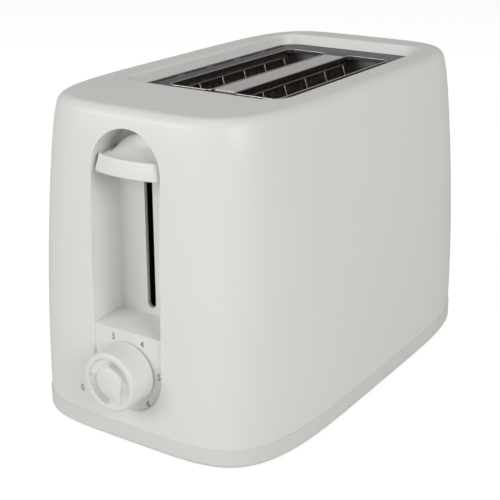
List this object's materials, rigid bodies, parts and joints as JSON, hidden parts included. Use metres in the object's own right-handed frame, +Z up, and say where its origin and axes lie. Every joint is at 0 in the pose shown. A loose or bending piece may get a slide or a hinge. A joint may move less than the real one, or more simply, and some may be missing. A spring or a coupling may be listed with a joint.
{
  "type": "pop up toaster",
  "caption": "Two-slot pop up toaster with a moulded shell, front lever in an arched recess, browning dial and a rear crumb tray.",
  "frame": {"origin": "bottom centre of the whole, on the surface that the rubber feet stand on", "axes": "+Z up, +Y along the body to the rear (cord and crumb tray end), -Y towards the lever and the dial, +X to the right of someone who faces the lever"},
  "size_m": [0.1678, 0.2972, 0.187],
  "materials": {
    "shell_plastic": "satin off-white moulded plastic",
    "base_plastic": "satin off-white moulded plastic",
    "lever_plastic": "satin off-white moulded plastic",
    "dial_plastic": "satin off-white moulded plastic",
    "tray_handle_plastic": "satin off-white moulded plastic",
    "foot_rubber": "matt grey rubber",
    "top_plate_steel": "dark rolled stainless sheet",
    "divider_steel": "brushed stainless sheet",
    "chassis_steel": "zinc-coated sheet",
    "carriage_steel": "zinc-coated sheet",
    "guide_steel": "bright plated wire",
    "rod_steel": "ground bright rod",
    "spring_steel": "bright spring wire",
    "screw_steel": "zinc-coated screws",
    "mica": "dark mica board",
    "ribbon": "oxidised resistance ribbon",
    "board": "printed board",
    "components": "dark moulded components",
    "contact_brass": "spring brass",
    "contact_plastic": "black phenolic",
    "magnet_iron": "laminated iron",
    "coil_copper": "enamelled winding",
    "terminal_ceramic": "unglazed steatite",
    "lead_sleeve": "glass-braid sleeved lead",
    "tray_steel": "plain pressed sheet"
  },
  "bodies": {
    "body": {"outer_shell": "shell_plastic", "base": "base_plastic", "rubber_feet": "foot_rubber", "base_screws": "screw_steel", "top_plate": "top_plate_steel", "slot_divider": "divider_steel", "front_end_plate": "chassis_steel", "rear_end_plate": "chassis_steel", "heat_shield_left": "chassis_steel", "heat_shield_right": "chassis_steel", "chassis_screws": "screw_steel", "guide_rod": "rod_steel", "mechanism_stay": "chassis_steel", "lift_spring": "spring_steel", "potentiometer_body": "contact_plastic", "circuit_board": "board", "board_components": "components", "board_screws": "screw_steel", "contact_block": "contact_plastic", "contact_blades": "contact_brass", "magnet_core": "magnet_iron", "magnet_coil": "coil_copper", "magnet_bracket": "chassis_steel", "magnet_screws": "screw_steel", "terminal_block": "terminal_ceramic", "internal_leads": "lead_sleeve", "mica_card_left": "mica", "mica_card_centre": "mica", "mica_card_right": "mica", "heating_element_left": "ribbon", "heating_element_centre": "ribbon", "heating_element_right": "ribbon"},
    "carriage": {"carriage_bracket": "carriage_steel", "bread_rack_left": "carriage_steel", "bread_rack_right": "carriage_steel", "latch_keeper": "magnet_iron", "lever_knob": "lever_plastic"},
    "dial": {"dial_knob": "dial_plastic", "potentiometer_shaft": "contact_plastic"},
    "tray": {"crumb_tray": "tray_steel", "crumb_tray_handle": "tray_handle_plastic"},
    "guide_left_outer": {"bread_guide_left_outer": "guide_steel"},
    "guide_left_inner": {"bread_guide_left_inner": "guide_steel"},
    "guide_right_inner": {"bread_guide_right_inner": "guide_steel"},
    "guide_right_outer": {"bread_guide_right_outer": "guide_steel"}
  },
  "joints": [
    {"name": "lever_slide", "type": "slide", "parent": "body", "child": "carriage", "axis": [0, 0, -1], "range_m": [0, 0.074], "stiffness_N_per_m": 45, "springref_m": -0.05, "deforming": ["lift_spring"]},
    {"name": "dial_turn", "type": "hinge", "parent": "body", "child": "dial", "pos_m": [0, -0.1317, 0.0449], "axis": [0, 1, 0], "range_deg": [-285, 0]},
    {"name": "tray_slide", "type": "slide", "parent": "body", "child": "tray", "axis": [0, 1, 0], "range_m": [0, 0.17]},
    {"name": "guide_swing_left_outer", "type": "hinge", "parent": "body", "child": "guide_left_outer", "pos_m": [-0.0349, 0, 0.028], "axis": [0, 1, 0], "range_deg": [0, 3.5]},
    {"name": "guide_swing_left_inner", "type": "hinge", "parent": "body", "child": "guide_left_inner", "pos_m": [-0.0099, 0, 0.028], "axis": [0, 1, 0], "range_deg": [-3.5, 0]},
    {"name": "guide_swing_right_inner", "type": "hinge", "parent": "body", "child": "guide_right_inner", "pos_m": [0.0099, 0, 0.028], "axis": [0, 1, 0], "range_deg": [0, 3.5]},
    {"name": "guide_swing_right_outer", "type": "hinge", "parent": "body", "child": "guide_right_outer", "pos_m": [0.0349, 0, 0.028], "axis": [0, 1, 0], "range_deg": [-3.5, 0]}
  ],
  "couplings": [
    {"joint": "guide_swing_left_outer", "follows": "lever_slide", "rad_per_m": 0.8},
    {"joint": "guide_swing_left_inner", "follows": "lever_slide", "rad_per_m": -0.8},
    {"joint": "guide_swing_right_inner", "follows": "lever_slide", "rad_per_m": 0.8},
    {"joint": "guide_swing_right_outer", "follows": "lever_slide", "rad_per_m": -0.8}
  ]
}
